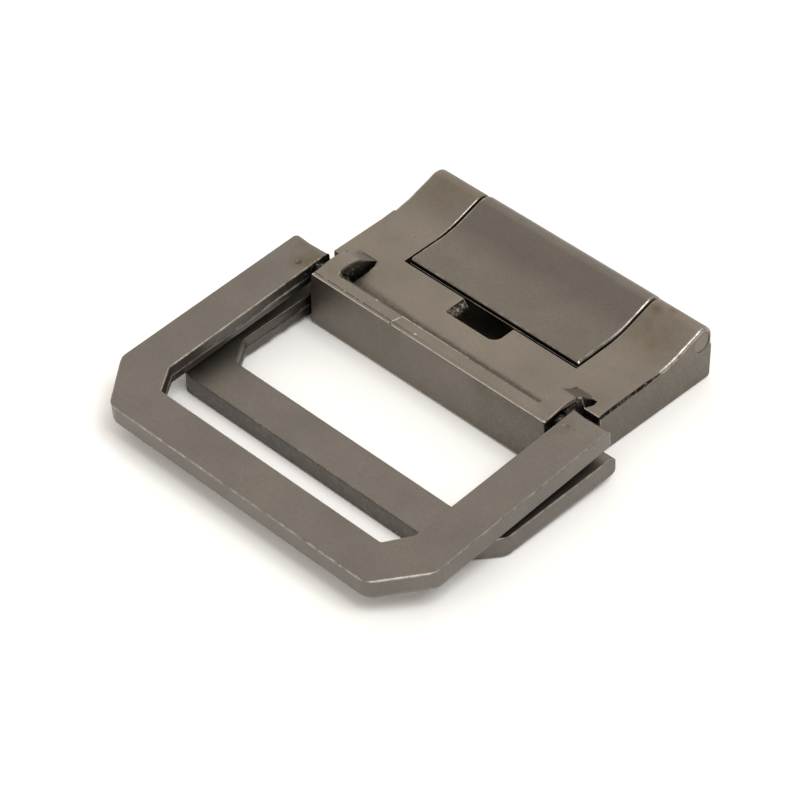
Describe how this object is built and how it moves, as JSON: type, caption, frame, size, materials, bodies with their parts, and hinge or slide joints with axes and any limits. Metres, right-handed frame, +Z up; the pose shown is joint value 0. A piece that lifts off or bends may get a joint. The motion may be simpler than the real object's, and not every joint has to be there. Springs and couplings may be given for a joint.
{
  "type": "double ring belt buckle",
  "caption": "Belt buckle with an upper and a lower chamfered ring hinged to a cast clamp body, and a lever that clamps the strap's end.",
  "frame": {"origin": "middle of the whole buckle's footprint, on the surface that it lies on", "axes": "+X across the strap, +Y from the rings to the strap's end, +Z up from the surface"},
  "size_m": [0.0508, 0.0562, 0.0082],
  "materials": {
    "body_gunmetal": "satin gunmetal plating on die-cast zinc",
    "upper_ring_gunmetal": "satin gunmetal plating on die-cast zinc",
    "lower_ring_gunmetal": "satin gunmetal plating on die-cast zinc",
    "lever_gunmetal": "satin gunmetal plating on die-cast zinc",
    "pin_steel": "plated steel"
  },
  "bodies": {
    "body": {"clamp_body": "body_gunmetal", "lever_pin": "pin_steel"},
    "upper_ring": {"upper_ring": "upper_ring_gunmetal"},
    "lower_ring": {"lower_ring": "lower_ring_gunmetal"},
    "lever": {"clamp_lever": "lever_gunmetal"}
  },
  "joints": [
    {"name": "upper_ring_hinge", "type": "hinge", "parent": "body", "child": "upper_ring", "pos_m": [0, 0.00455, 0.00629], "axis": [-1, 0, 0], "range_deg": [0, 160]},
    {"name": "lower_ring_hinge", "type": "hinge", "parent": "body", "child": "lower_ring", "pos_m": [0, 0.00475, 0.00219], "axis": [1, 0, 0], "range_deg": [0, 120]},
    {"name": "lever_hinge", "type": "hinge", "parent": "body", "child": "lever", "pos_m": [0, 0.02605, 0.00615], "axis": [-1, 0, 0], "range_deg": [0, 85]}
  ]
}
